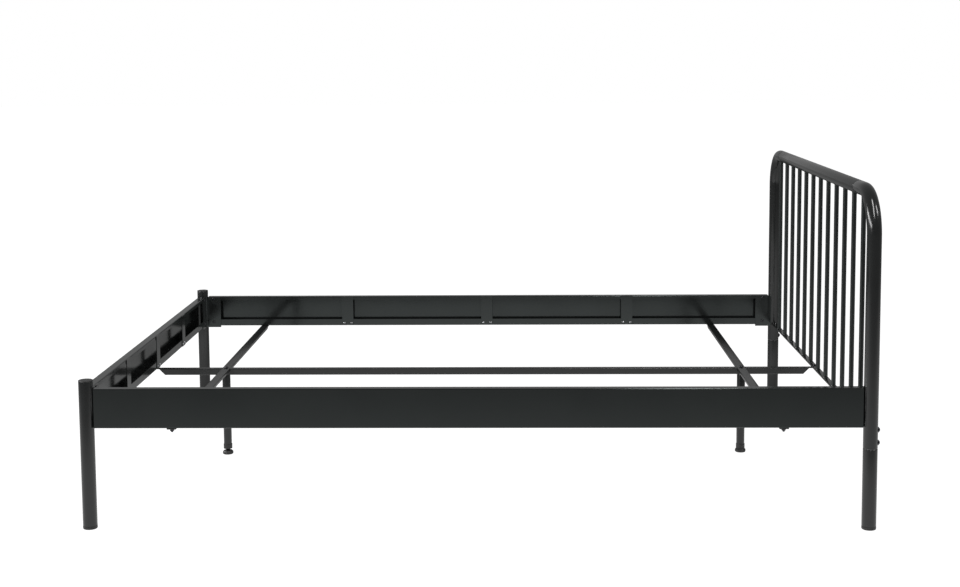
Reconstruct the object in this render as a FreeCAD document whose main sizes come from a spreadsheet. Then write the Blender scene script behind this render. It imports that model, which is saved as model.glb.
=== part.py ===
import FreeCAD, Part
import math
import os
from types import SimpleNamespace

import Sketcher

# A double bed frame of black painted steel: a headboard of bent tube with round spindles, two short
# foot posts, three sheet rails of C section, and a centre beam on two cross bars and two support legs.
#
# Millimetres. The origin is on the floor, midway between the four posts. +X points to the head of the
# bed, +Z up, and +Y is the left side for someone who stands at the foot and looks at the headboard.

SIZES = (
    # the whole frame
    ("bed_length", 2050, "foot post axis to head post axis"),
    ("bed_width", 1450, "left post axis to right post axis"),
    ("headboard_top", 901, "floor to the top of the headboard"),
    ("rail_top", 377.5, "floor to the top of the rails"),
    # posts and headboard tube
    ("post_diameter", 38, "tube of the posts and the headboard"),
    ("post_wall", 1.5, "wall of that tube"),
    ("corner_radius", 112, "bend of the headboard corner, at the tube's centre line"),
    ("seam_past_spindle", 50, "end spindle to the seam in the top tube"),
    ("leg_seam", 216, "floor to the seam between headboard and lower leg"),
    ("seam_gap", 1, "open line between two tube ends"),
    ("sleeve_wall", 2.5, "wall of the inner sleeves"),
    ("sleeve_fit", 0.05, "gap around an inner sleeve"),
    ("sleeve_reach", 40, "top sleeve, each way from its seam"),
    ("leg_sleeve_down", 50, "leg sleeve below its seam"),
    ("leg_sleeve_up", 70, "leg sleeve above its seam"),
    ("foot_post_rise", 22, "top of the foot post cap above the rails"),
    ("cap_thickness", 3, "rim of the foot post cap"),
    ("cap_edge", 1.5, "rounding of the cap's upper edge"),
    ("glide_thickness", 8, "visible rim of the plastic glide"),
    ("glide_edge", 2.5, "rounding of the glide's lower edge"),
    ("plug_length", 22, "part of a cap or glide inside the tube"),
    ("plug_wall", 2.5, "wall of that part"),
    ("plug_fit", 0.1, "gap around that part"),
    # headboard filling
    ("spindle_diameter", 13, "round spindle"),
    ("spindle_wall", 1, "wall of the spindle"),
    ("spindle_margin", 8, "end spindle to the start of the corner bend"),
    ("bottom_bar_width", 18, "flat bar under the spindles"),
    ("bottom_bar_thickness", 5, "flat bar under the spindles"),
    # rails
    ("rail_height", 105, "height of the C section"),
    ("rail_depth", 25, "depth of the C section"),
    ("rail_wall", 1.5, "sheet of the rails"),
    ("rail_bend", 2.5, "outer radius of the rail's folds"),
    ("upper_lip", 12, "upper lip of the C section"),
    ("lower_lip", 22.5, "lower lip of the C section"),
    ("rail_setback", 3, "rail end to the post's surface"),
    ("slat_hole_pitch", 250, "holes in the lower flange"),
    ("slat_hole", 8, "diameter of those holes"),
    # brackets and stiffeners
    ("bracket_thickness", 2.5, "corner bracket"),
    ("bracket_reach", 67, "post axis to the end of the bracket"),
    ("bracket_drop", 5, "bracket below the rail"),
    ("bracket_top_gap", 1, "bracket below the rail's top"),
    ("bracket_bar_gap", 0.5, "head bracket to the side of the bottom bar"),
    ("bracket_bolt_reach", 42, "post axis to the bracket's bolts"),
    ("lower_bolt_rise", 14, "rail's bottom to the lower bolt"),
    ("stiffener_width", 40, "stiffener plate"),
    ("stiffener_thickness", 2, "stiffener plate"),
    ("stiffener_gap", 1, "plate's ends to the rail's top and bottom"),
    ("stiffener_pitch_side", 500, "between plates of a side rail"),
    ("stiffener_pitch_foot", 350, "between plates of the foot rail"),
    ("stiffener_screw_edge", 7, "screw to the plate's side"),
    ("stiffener_screw_rise", 10, "rail's bottom to the screws"),
    # centre support
    ("beam_size", 20, "square tube of the centre beam"),
    ("beam_wall", 1.5, "its wall, which goes on as the end tongues"),
    ("beam_corner", 2, "outer radius of its corners"),
    ("beam_setback", 36, "post axis to the lower corner of the mitred end"),
    ("tongue_past_axis", 8, "tongue beyond the post axis"),
    ("cross_bar_inset", 225, "post axis to cross bar axis"),
    ("cross_bar_width", 25, "flat rectangular tube, along the bed"),
    ("cross_bar_height", 10, "flat rectangular tube"),
    ("cross_bar_wall", 1.5, "flat rectangular tube"),
    ("cross_bar_end", 4, "thickness of the flattened end"),
    ("cross_bar_flat", 23, "length of the flattened end"),
    ("cross_bar_taper", 17, "length of the taper behind it"),
    ("cross_bar_past_axis", 10, "bar's end beyond the rail's middle"),
    ("notch_gap", 0.5, "beam notch beside the bar"),
    ("leg_diameter", 25, "support leg"),
    ("leg_wall", 1.5, "support leg"),
    ("leg_head", 6, "threaded head of the support leg"),
    ("foot_diameter", 33, "levelling foot"),
    ("foot_thickness", 11, "levelling foot"),
    ("foot_edge", 1.8, "bevel of the levelling foot's lower edge"),
    ("foot_shoulder", 3.6, "bevel of its upper edge"),
    ("stud_diameter", 12, "levelling foot's threaded stud"),
    ("stud_length", 45, "levelling foot's threaded stud"),
    ("stud_fit", 0.1, "gap around the stud"),
    ("collar_rim", 1, "collar of the support leg's plug, beyond the leg's surface"),
    ("collar_height", 14.5, "the collar, below the leg"),
    ("collar_edge", 0.8, "rounding of the collar"),
    ("foot_gap", 6.5, "collar to levelling foot, as set at the foot end"),
    ("foot_stop_gap", 0.3, "collar to levelling foot, screwed right in"),
    # fasteners
    ("bolt_diameter", 6, "frame bolts"),
    ("bolt_head", 10.5, "their head"),
    ("bolt_head_height", 3.3, "their head"),
    ("nut_flats", 10, "their nut"),
    ("nut_height", 5, "their nut"),
    ("thread_fit", 0.05, "gap between thread and nut"),
    ("hole_fit", 0.2, "gap between bolt and hole"),
    ("rail_bolt_length", 12, "bracket to rail"),
    ("post_bolt_length", 14, "headboard to lower leg"),
    ("post_bolt_low", 15, "seam to the lower of the two"),
    ("post_bolt_high", 49, "seam to the upper of the two"),
    ("washer_diameter", 15, "saddle washer"),
    ("washer_height", 1.5, "saddle washer over the post's surface"),
    ("cross_bar_bolt_length", 14, "rail to cross bar"),
    ("leg_bolt_diameter", 8, "cross bar to support leg"),
    ("leg_bolt_head", 13, "its head"),
    ("leg_bolt_head_height", 4.4, "its head"),
    ("leg_bolt_spare", 4, "its thread below the leg's head"),
    ("screw_diameter", 4, "stiffener screws"),
    ("screw_head", 7.5, "their head"),
    ("screw_head_height", 2.2, "their head"),
    ("screw_length", 5, "stiffener screws"),
)
SPINDLES = 12
SLAT_HOLES_EACH_WAY = 3
SOCKET_SHARE = 0.7  # bolt's socket, of the shank's radius
SOCKET_DEPTH_SHARE = 0.6  # bolt's socket, of the head's height
HEAD_RIM_SHARE = 1 / 3  # upright rim of a bolt's head, of its height
HEAD_BEVEL_SHARE = 1 / 2  # width of the bevel above that rim, of the head's height
FACE_AWAY = {
    "up": FreeCAD.Rotation(),
    "+x": FreeCAD.Rotation(FreeCAD.Vector(0, 1, 0), 90) * FreeCAD.Rotation(FreeCAD.Vector(0, 0, 1), 90),
    "-y": FreeCAD.Rotation(FreeCAD.Vector(1, 0, 0), 90),
    "+y": FreeCAD.Rotation(FreeCAD.Vector(1, 0, 0), -90),
}
SIDES = (("left", 1), ("right", -1))
ENDS = (("foot_end", -1), ("head_end", 1))


class Size:
    """A number, and the formula that ties it to the sheet."""

    def __init__(self, value, formula):
        self.value = float(value)
        self.formula = formula

    def join(self, other, sign, value):
        return Size(value, f"({self.formula} {sign} {other.formula})")

    def __add__(self, other):
        other = as_size(other)
        return self.join(other, "+", self.value + other.value)

    def __radd__(self, other):
        return as_size(other) + self

    def __sub__(self, other):
        other = as_size(other)
        return self.join(other, "-", self.value - other.value)

    def __rsub__(self, other):
        return as_size(other) - self

    def __mul__(self, other):
        other = as_size(other)
        return self.join(other, "*", self.value * other.value)

    def __rmul__(self, other):
        return as_size(other) * self

    def __truediv__(self, other):
        other = as_size(other)
        return self.join(other, "/", self.value / other.value)

    def __neg__(self):
        return 0 - self


def as_size(number):
    """A plain number as a Size; a Size comes back as it is."""
    if isinstance(number, Size):
        return number
    return Size(number, f"({number})")


def larger(one, other):
    """The larger of two sizes, also after the sheet changes."""
    return Size(max(one.value, other.value), f"max({one.formula}; {other.formula})")


def is_tied(size):
    return "Sizes." in size.formula


# ---------------------------------------------------------------- the document and its sheet

doc = FreeCAD.newDocument("bed_frame")
sheet = doc.addObject("Spreadsheet::Sheet", "Sizes")
for row, (alias, number, meaning) in enumerate(SIZES, start=1):
    sheet.set(f"A{row}", str(number))
    sheet.setAlias(f"A{row}", alias)
    sheet.set(f"B{row}", meaning)
doc.recompute()

mm = SimpleNamespace(**{alias: Size(number, f"Sizes.{alias}") for alias, number, meaning in SIZES})
sub_parts = []


def keep(thing):
    """Count an object as one of the bed's pieces."""
    sub_parts.append(thing)
    return thing


# ---------------------------------------------------------------- how pieces are drawn


def tie(thing, name, number):
    """Set a property and tie it to the sheet."""
    size = as_size(number)
    setattr(thing, name, size.value)
    if is_tied(size):
        thing.setExpression(name, size.formula)


def place(thing, x=0, y=0, z=0, turn=FACE_AWAY["up"]):
    """Give an object its Placement, tied to the sheet."""
    spot = [as_size(number) for number in (x, y, z)]
    thing.Placement = FreeCAD.Placement(FreeCAD.Vector(*[size.value for size in spot]), turn)
    for axis, size in zip("xyz", spot):
        if is_tied(size):
            thing.setExpression(f"Placement.Base.{axis}", size.formula)
    return thing


def new_body(label):
    return doc.addObject("PartDesign::Body", label)


def sketch_on(body, role, name, raised=0):
    """A sketch on one of the body's own origin planes, raised along its normal."""
    plane = next(feature for feature in body.Origin.OriginFeatures if feature.Role == role)
    sketch = body.newObject("Sketcher::SketchObject", f"{body.Name}_{name}")
    sketch.AttachmentSupport = [(plane, "")]
    sketch.MapMode = "FlatFace"
    height = as_size(raised)
    sketch.AttachmentOffset = FreeCAD.Placement(FreeCAD.Vector(0, 0, height.value), FreeCAD.Rotation())
    if is_tied(height):
        sketch.setExpression("AttachmentOffset.Base.z", height.formula)
    return sketch


def measure(sketch, kind, *where_and_size):
    """Add a sized constraint, tied to the sheet."""
    *where, number = where_and_size
    size = as_size(number)
    index = sketch.addConstraint(Sketcher.Constraint(kind, *where, size.value))
    if is_tied(size):
        sketch.setExpression(f"Constraints[{index}]", size.formula)


def fix_point(sketch, edge, end, x, y):
    """Hold a point of an edge at x, y from the sketch's origin."""
    measure(sketch, "DistanceX", -1, 1, edge, end, x)
    measure(sketch, "DistanceY", -1, 1, edge, end, y)


def vector(point):
    return FreeCAD.Vector(point[0].value, point[1].value, 0)


def towards(start, goal):
    """The unit step from one point to the next along a side that lies along x or y."""
    across = goal[0].value - start[0].value
    along = goal[1].value - start[1].value
    span = math.hypot(across, along)
    return round(across / span), round(along / span)


def shifted(point, step, radius):
    return point[0] + step[0] * radius, point[1] + step[1] * radius


def line(sketch, start, end):
    """Draw a straight side whose start is held; its end is held by what follows."""
    side = sketch.addGeometry(Part.LineSegment(vector(start), vector(end)))
    fix_point(sketch, side, 1, *start)
    return side


def outline(sketch, *corners):
    """Draw a closed outline. A corner with a third number is rounded to that radius."""
    points = [(as_size(corner[0]), as_size(corner[1])) for corner in corners]
    count = len(points)
    arrive = list(points)
    leave = list(points)
    centres = [None] * count
    for i, corner in enumerate(corners):
        if len(corner) == 3:
            back = towards(points[i], points[i - 1])
            onward = towards(points[i], points[(i + 1) % count])
            arrive[i] = shifted(points[i], back, corner[2])
            leave[i] = shifted(points[i], onward, corner[2])
            centres[i] = shifted(arrive[i], onward, corner[2])
    sides = []
    for i in range(count):
        sides.append(line(sketch, leave[i], arrive[(i + 1) % count]))
    for i, side in enumerate(sides):
        following = (i + 1) % count
        if centres[following] is None:
            sketch.addConstraint(Sketcher.Constraint("Coincident", side, 2, sides[following], 1))
        else:
            fix_point(sketch, side, 2, *arrive[following])
            round_off(sketch, side, sides[following], points[following], centres[following])


def round_off(sketch, side, following, corner, centre):
    """Join two sides with an arc about a centre."""
    start = sketch.getPoint(side, 2)
    end = sketch.getPoint(following, 1)
    middle = vector(centre) + (vector(corner) - vector(centre)).normalize() * (start - vector(centre)).Length
    arc = sketch.addGeometry(Part.Arc(start, middle, end))
    first, last = (1, 2) if sketch.getPoint(arc, 1).isEqual(start, 1e-6) else (2, 1)
    sketch.addConstraint(Sketcher.Constraint("Coincident", arc, first, side, 2))
    sketch.addConstraint(Sketcher.Constraint("Coincident", arc, last, following, 1))
    measure(sketch, "DistanceX", -1, 1, arc, 3, centre[0])


def rectangle(sketch, x0, y0, x1, y1):
    outline(sketch, (x0, y0), (x1, y0), (x1, y1), (x0, y1))


def circle(sketch, radius, x=0, y=0):
    spot = as_size(x), as_size(y)
    edge = sketch.addGeometry(Part.Circle(vector(spot), FreeCAD.Vector(0, 0, 1), as_size(radius).value))
    fix_point(sketch, edge, 3, *spot)
    measure(sketch, "Radius", edge, radius)


def feature_of(body, kind, name, sketch):
    feature = body.newObject(f"PartDesign::{kind}", f"{body.Name}_{name}")
    feature.Profile = sketch
    body.Tip = feature
    return feature


def pad(body, sketch, length, name="pad", both_ways=False):
    feature = feature_of(body, "Pad", name, sketch)
    tie(feature, "Length", length)
    if both_ways:
        feature.SideType = "Symmetric"


def pocket(body, sketch, name, depth=None):
    """Cut right through both ways, or as deep as given on the side the sketch faces."""
    feature = feature_of(body, "Pocket", name, sketch)
    if depth is None:
        feature.Type = "ThroughAll"
        feature.SideType = "Symmetric"
    else:
        feature.Reversed = True
        tie(feature, "Length", depth)


def spin(body, sketch, name="turned"):
    feature = feature_of(body, "Revolution", name, sketch)
    feature.ReferenceAxis = (sketch, ["V_Axis"])
    feature.Angle = 360


def turned_body(label, *corners):
    """A body turned about its own upright axis from half of its section."""
    body = new_body(label)
    sketch = sketch_on(body, "XZ_Plane", "section")
    outline(sketch, *corners)
    spin(body, sketch)
    return body


def ring_sketch(body, role, radius, wall, name="ring", raised=0):
    sketch = sketch_on(body, role, name, raised)
    circle(sketch, radius)
    circle(sketch, radius - wall)
    return sketch


# ---------------------------------------------------------------- sizes worked out from the sheet

half_length = mm.bed_length / 2
half_width = mm.bed_width / 2
post_r = mm.post_diameter / 2
bore_r = post_r - mm.post_wall
rail_bottom = mm.rail_top - mm.rail_height
rail_half = mm.rail_depth / 2
rail_end = post_r + mm.rail_setback
top_axis = mm.headboard_top - post_r
end_spindle = half_width - mm.corner_radius - mm.spindle_margin
top_seam = end_spindle - mm.seam_past_spindle
bar_top = rail_bottom + mm.bottom_bar_thickness
flange_top = rail_bottom + mm.rail_wall
cross_bar_x = half_length - mm.cross_bar_inset
beam_bottom = rail_bottom - mm.beam_size
notch_bottom = rail_bottom - mm.cross_bar_height
bolt_r = mm.bolt_diameter / 2
bolt_hole_r = bolt_r + mm.hole_fit
thread_r = bolt_r + mm.thread_fit
leg_bolt_r = mm.leg_bolt_diameter / 2
leg_bore_r = mm.leg_diameter / 2 - mm.leg_wall
collar_bottom = mm.foot_thickness + mm.foot_gap
tube_bottom = collar_bottom + mm.collar_height
upper_bolt = mm.rail_top - mm.rail_bend - mm.nut_flats / 2 - mm.hole_fit
lower_bolt = rail_bottom + mm.lower_bolt_rise
post_bolts = (mm.leg_seam + mm.post_bolt_low, mm.leg_seam + mm.post_bolt_high)
bracket_plane = rail_half + mm.bracket_thickness
# A fold about the corner (plane, plane) clears the post's axis by plane * sqrt(2) + radius * (sqrt(2) - 1).
fold_past_post = (post_r + mm.bracket_thickness - bracket_plane * math.sqrt(2)) / (math.sqrt(2) - 1)
bracket_fold = larger(mm.rail_bend, fold_past_post)
stiffener_screw_off = mm.stiffener_width / 2 - mm.stiffener_screw_edge
stiffener_screw_z = rail_bottom + mm.stiffener_screw_rise


# ---------------------------------------------------------------- headboard


def corner_post(side, way):
    """An upright that bends over into the top tube, open at both ends, with two bolt holes behind."""
    body = keep(new_body(f"headboard_corner_post_{side}"))
    upright = top_axis - mm.corner_radius - mm.leg_seam
    crown = upright + mm.corner_radius
    bend = -way * mm.corner_radius
    tip = -way * (half_width - top_seam)
    axis = as_size(0)
    ring = ring_sketch(body, "XY_Plane", post_r, mm.post_wall)
    path = sketch_on(body, "YZ_Plane", "path")
    lower = line(path, (axis, axis), (axis, upright))
    upper = line(path, (bend, crown), (tip, crown))
    fix_point(path, lower, 2, axis, upright)
    fix_point(path, upper, 2, tip, crown)
    round_off(path, lower, upper, (axis, crown), (bend, upright))
    pipe = feature_of(body, "AdditivePipe", "tube", ring)
    pipe.Spine = (path, [])
    holes = sketch_on(body, "YZ_Plane", "bolt_holes")
    for height in post_bolts:
        circle(holes, bolt_hole_r, 0, height - mm.leg_seam)
    pocket(body, holes, "bolt_hole_cut", depth=2 * post_r)
    place(body, half_length, way * half_width, mm.leg_seam)


def top_tube():
    body = keep(new_body("headboard_top_tube"))
    ring = ring_sketch(body, "XZ_Plane", post_r, mm.post_wall)
    pad(body, ring, 2 * (top_seam - mm.seam_gap), both_ways=True)
    place(body, half_length, 0, top_axis)


def top_sleeve(side, way):
    """A short tube inside the seam between corner post and top tube."""
    body = keep(new_body(f"headboard_top_sleeve_{side}"))
    ring = ring_sketch(body, "XZ_Plane", bore_r - mm.sleeve_fit, mm.sleeve_wall)
    pad(body, ring, 2 * mm.sleeve_reach, both_ways=True)
    place(body, half_length, way * top_seam, top_axis)


def lower_leg(side, way):
    body = keep(new_body(f"headboard_lower_leg_{side}"))
    ring = ring_sketch(body, "XY_Plane", post_r, mm.post_wall)
    pad(body, ring, mm.leg_seam - mm.seam_gap - mm.glide_thickness)
    place(body, half_length, way * half_width, mm.glide_thickness)


def leg_sleeve(side, way):
    """The tube inside the lower leg that goes up into the headboard and takes its two bolts."""
    body = keep(new_body(f"headboard_leg_sleeve_{side}"))
    bottom = mm.leg_seam - mm.leg_sleeve_down
    ring = ring_sketch(body, "XY_Plane", bore_r - mm.sleeve_fit, mm.sleeve_wall)
    pad(body, ring, mm.leg_sleeve_down + mm.leg_sleeve_up)
    holes = sketch_on(body, "YZ_Plane", "thread_holes")
    for height in post_bolts:
        circle(holes, thread_r, 0, height - bottom)
    pocket(body, holes, "thread_hole_cut", depth=2 * post_r)
    place(body, half_length, way * half_width, bottom)


def bottom_bar():
    """A flat bar between the headboard's posts, its ends hollowed to meet the round tubes."""
    body = keep(new_body("headboard_bottom_bar"))
    plan = sketch_on(body, "XY_Plane", "plan")
    half_bar = mm.bottom_bar_width / 2
    rectangle(plan, -half_bar, -half_width, half_bar, half_width)
    pad(body, plan, mm.bottom_bar_thickness)
    ends = sketch_on(body, "XY_Plane", "ends")
    for side, way in SIDES:
        circle(ends, post_r, 0, way * half_width)
    pocket(body, ends, "end_cut")
    hole = sketch_on(body, "XY_Plane", "screw_hole")
    circle(hole, bolt_hole_r)
    pocket(body, hole, "screw_hole_cut")
    place(body, half_length, 0, rail_bottom)


def spindle(number):
    """A thin tube that stands on the bottom bar, its top end hollowed to meet the top tube."""
    body = keep(new_body(f"headboard_spindle_{number:02d}"))
    ring = ring_sketch(body, "XY_Plane", mm.spindle_diameter / 2, mm.spindle_wall)
    pad(body, ring, top_axis - bar_top)
    saddle = sketch_on(body, "XZ_Plane", "saddle")
    circle(saddle, post_r, 0, top_axis - bar_top)
    pocket(body, saddle, "saddle_cut")
    pitch = 2 * end_spindle / (SPINDLES - 1)
    place(body, half_length, end_spindle - (number - 1) * pitch, bar_top)


# ---------------------------------------------------------------- foot posts, caps and glides


def foot_post(side, way):
    body = keep(new_body(f"foot_post_{side}"))
    tube_top = mm.rail_top + mm.foot_post_rise - mm.cap_thickness
    ring = ring_sketch(body, "XY_Plane", post_r, mm.post_wall)
    pad(body, ring, tube_top - mm.glide_thickness)
    place(body, -half_length, way * half_width, mm.glide_thickness)
    cap = keep(turned_body(
        f"foot_post_cap_{side}",
        (0, 0),
        (bore_r - mm.plug_fit - mm.plug_wall, 0),
        (bore_r - mm.plug_fit - mm.plug_wall, -mm.plug_length),
        (bore_r - mm.plug_fit, -mm.plug_length),
        (bore_r - mm.plug_fit, 0),
        (post_r, 0),
        (post_r, mm.cap_thickness, mm.cap_edge),
        (0, mm.cap_thickness),
    ))
    place(cap, -half_length, way * half_width, tube_top)


def glide(name, x, y):
    """The plastic shoe under a post, pushed into its tube."""
    body = keep(turned_body(
        name,
        (0, 0),
        (post_r, 0, mm.glide_edge),
        (post_r, mm.glide_thickness),
        (bore_r - mm.plug_fit, mm.glide_thickness),
        (bore_r - mm.plug_fit, mm.glide_thickness + mm.plug_length),
        (bore_r - mm.plug_fit - mm.plug_wall, mm.glide_thickness + mm.plug_length),
        (bore_r - mm.plug_fit - mm.plug_wall, mm.glide_thickness),
        (0, mm.glide_thickness),
    ))
    place(body, x, y)


# ---------------------------------------------------------------- rails, brackets and stiffeners
# A rail is drawn along x with its flat face at +y and its open side at -y, then turned into place.


def rail(label, half_run, flange_bolts, stiffeners, slat_holes):
    """A C section of folded sheet with lips, and the holes for everything that is fastened to it."""
    body = keep(new_body(label))
    inside = mm.rail_bend - mm.rail_wall
    section = sketch_on(body, "YZ_Plane", "section")
    outline(
        section,
        (-rail_half, mm.rail_top - mm.upper_lip),
        (-rail_half, mm.rail_top, mm.rail_bend),
        (rail_half, mm.rail_top, mm.rail_bend),
        (rail_half, rail_bottom, mm.rail_bend),
        (-rail_half, rail_bottom, mm.rail_bend),
        (-rail_half, rail_bottom + mm.lower_lip),
        (-rail_half + mm.rail_wall, rail_bottom + mm.lower_lip),
        (-rail_half + mm.rail_wall, flange_top, inside),
        (rail_half - mm.rail_wall, flange_top, inside),
        (rail_half - mm.rail_wall, mm.rail_top - mm.rail_wall, inside),
        (-rail_half + mm.rail_wall, mm.rail_top - mm.rail_wall, inside),
        (-rail_half + mm.rail_wall, mm.rail_top - mm.upper_lip),
    )
    pad(body, section, 2 * (half_run - rail_end), both_ways=True)
    lips = sketch_on(body, "XZ_Plane", "lip_holes")
    for way in (-1, 1):
        for height in (upper_bolt, lower_bolt):
            circle(lips, bolt_hole_r, way * (half_run - mm.bracket_bolt_reach), height)
    for x in stiffeners:
        for way in (-1, 1):
            circle(lips, mm.screw_diameter / 2, x + way * stiffener_screw_off, stiffener_screw_z)
    pocket(body, lips, "lip_hole_cut", depth=2 * rail_half)
    flange = sketch_on(body, "XY_Plane", "flange_holes")
    for x in flange_bolts:
        circle(flange, bolt_hole_r, x)
    for x in slat_holes:
        circle(flange, mm.slat_hole / 2, x)
    pocket(body, flange, "flange_hole_cut", depth=rail_bottom + mm.rail_height / 2)
    return body


def stiffener_plates(label, stiffeners):
    """Flat plates across the open side of a rail, each with two screw holes near its foot."""
    body = keep(new_body(label))
    body.AllowCompound = True
    face = sketch_on(body, "XZ_Plane", "faces", raised=rail_half)
    half_plate = mm.stiffener_width / 2
    for x in stiffeners:
        rectangle(face, x - half_plate, rail_bottom + mm.stiffener_gap,
                  x + half_plate, mm.rail_top - mm.stiffener_gap)
        for way in (-1, 1):
            circle(face, mm.screw_diameter / 2, x + way * stiffener_screw_off, stiffener_screw_z)
    pad(body, face, mm.stiffener_thickness)
    return body


def bracket(label, x_way, y_way, end_way, also_foot_rail):
    """The plate welded to a post that a rail is bolted to; at the foot a second plate joins it."""
    body = keep(new_body(label))
    near, far, reach = rail_half, bracket_plane, mm.bracket_reach
    plan = sketch_on(body, "XY_Plane", "plan", raised=rail_bottom - mm.bracket_drop)
    if also_foot_rail:
        corners = [
            (0, near), (near, near), (near, 0), (far, 0), (far, near), (reach, near),
            (reach, far), (far, far, bracket_fold), (far, reach), (near, reach), (near, far), (0, far),
        ]
    else:
        start = mm.bottom_bar_width / 2 + mm.bracket_bar_gap
        corners = [(start, near), (reach, near), (reach, far), (start, far)]
    signed = [(x_way * corner[0], y_way * corner[1], *corner[2:]) for corner in corners]
    outline(plan, *signed)
    pad(body, plan, mm.rail_height + mm.bracket_drop - mm.bracket_top_gap)
    tube = sketch_on(body, "XY_Plane", "tube")
    circle(tube, post_r)
    pocket(body, tube, "tube_cut")
    side_holes = sketch_on(body, "XZ_Plane", "side_holes")
    for height in (upper_bolt, lower_bolt):
        circle(side_holes, bolt_hole_r, x_way * mm.bracket_bolt_reach, height)
    pocket(body, side_holes, "side_hole_cut")
    if also_foot_rail:
        foot_holes = sketch_on(body, "YZ_Plane", "foot_holes")
        for height in (upper_bolt, lower_bolt):
            circle(foot_holes, bolt_hole_r, y_way * mm.bracket_bolt_reach, height)
        pocket(body, foot_holes, "foot_hole_cut")
    place(body, end_way * half_length, -y_way * half_width)


def turn_about_z(degrees):
    return FreeCAD.Rotation(FreeCAD.Vector(0, 0, 1), degrees)


def rails():
    """The two side rails and the foot rail, with their stiffeners."""
    side_plates = [n * mm.stiffener_pitch_side for n in (-1, 0, 1)]
    foot_plates = [n * mm.stiffener_pitch_foot for n in (-1, 0, 1)]
    reach = range(-SLAT_HOLES_EACH_WAY, SLAT_HOLES_EACH_WAY + 1)
    slat_holes = [n * mm.slat_hole_pitch for n in reach]
    runs = [
        (f"side_rail_{side}", half_length, (-cross_bar_x, cross_bar_x), side_plates, slat_holes,
         (0, way * half_width), turn_about_z(0 if way > 0 else 180))
        for side, way in SIDES
    ]
    runs.append(("foot_rail", half_width, (0,), foot_plates, (), (-half_length, 0), turn_about_z(90)))
    for label, half_run, flange_bolts, stiffeners, holes, spot, turn in runs:
        place(rail(label, half_run, flange_bolts, stiffeners, holes), *spot, turn=turn)
        place(stiffener_plates(f"{label}_stiffeners", stiffeners), *spot, turn=turn)


def brackets():
    for side, way in SIDES:
        bracket(f"foot_corner_bracket_{side}", 1, -way, -1, also_foot_rail=True)
        bracket(f"head_rail_bracket_{side}", -1, -way, 1, also_foot_rail=False)


# ---------------------------------------------------------------- centre beam, cross bars, support legs


def centre_beam():
    """A square tube with mitred ends whose upper wall goes on as a tongue, notched for the cross bars."""
    body = keep(new_body("centre_beam"))
    half_beam = mm.beam_size / 2
    tip = half_length + mm.tongue_past_axis
    inner_corner = mm.beam_corner - mm.beam_wall
    section = sketch_on(body, "YZ_Plane", "section")
    outer, inner = half_beam, half_beam - mm.beam_wall
    for half_side, radius in ((outer, mm.beam_corner), (inner, inner_corner)):
        low = beam_bottom + half_beam - half_side
        high = beam_bottom + half_beam + half_side
        outline(section, (-half_side, low, radius), (half_side, low, radius),
                (half_side, high, radius), (-half_side, high, radius))
    pad(body, section, 2 * tip, both_ways=True)
    cuts = sketch_on(body, "XZ_Plane", "cuts")
    tongue_bottom = rail_bottom - mm.beam_wall
    toe = half_length - mm.beam_setback
    heel = toe + mm.beam_size - mm.beam_wall
    half_notch = mm.cross_bar_width / 2 + mm.notch_gap
    for way in (-1, 1):
        outline(cuts, (way * toe, beam_bottom), (way * heel, tongue_bottom),
                (way * (tip + mm.beam_size), tongue_bottom), (way * (tip + mm.beam_size), beam_bottom))
        rectangle(cuts, way * cross_bar_x - half_notch, notch_bottom,
                  way * cross_bar_x + half_notch, rail_bottom + mm.beam_wall)
    pocket(body, cuts, "end_and_notch_cut")
    holes = sketch_on(body, "XY_Plane", "holes")
    for way in (-1, 1):
        circle(holes, leg_bolt_r + mm.hole_fit, way * cross_bar_x)
        circle(holes, thread_r, way * half_length)
    pocket(body, holes, "hole_cut")


def cross_bar(end, way):
    """A flat bar under both side rails, with flattened ends, let into the beam."""
    body = keep(new_body(f"cross_bar_{end}"))
    half_bar = mm.cross_bar_width / 2
    bar_tip = half_width + mm.cross_bar_past_axis
    flat_start = bar_tip - mm.cross_bar_flat
    taper_start = flat_start - mm.cross_bar_taper
    wall = mm.cross_bar_wall
    section = sketch_on(body, "XZ_Plane", "section")
    rectangle(section, -half_bar, notch_bottom, half_bar, rail_bottom)
    rectangle(section, -half_bar + wall, notch_bottom + wall, half_bar - wall, rail_bottom - wall)
    pad(body, section, 2 * taper_start, both_ways=True)
    ends = sketch_on(body, "YZ_Plane", "ends")
    for side in (-1, 1):
        outline(ends, (side * taper_start, rail_bottom), (side * bar_tip, rail_bottom),
                (side * bar_tip, rail_bottom - mm.cross_bar_end),
                (side * flat_start, rail_bottom - mm.cross_bar_end), (side * taper_start, notch_bottom))
    pad(body, ends, mm.cross_bar_width, name="end_pad", both_ways=True)
    holes = sketch_on(body, "XY_Plane", "holes")
    circle(holes, leg_bolt_r + mm.hole_fit)
    for side in (-1, 1):
        circle(holes, bolt_hole_r, 0, side * half_width)
    pocket(body, holes, "hole_cut")
    place(body, way * cross_bar_x)


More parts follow.
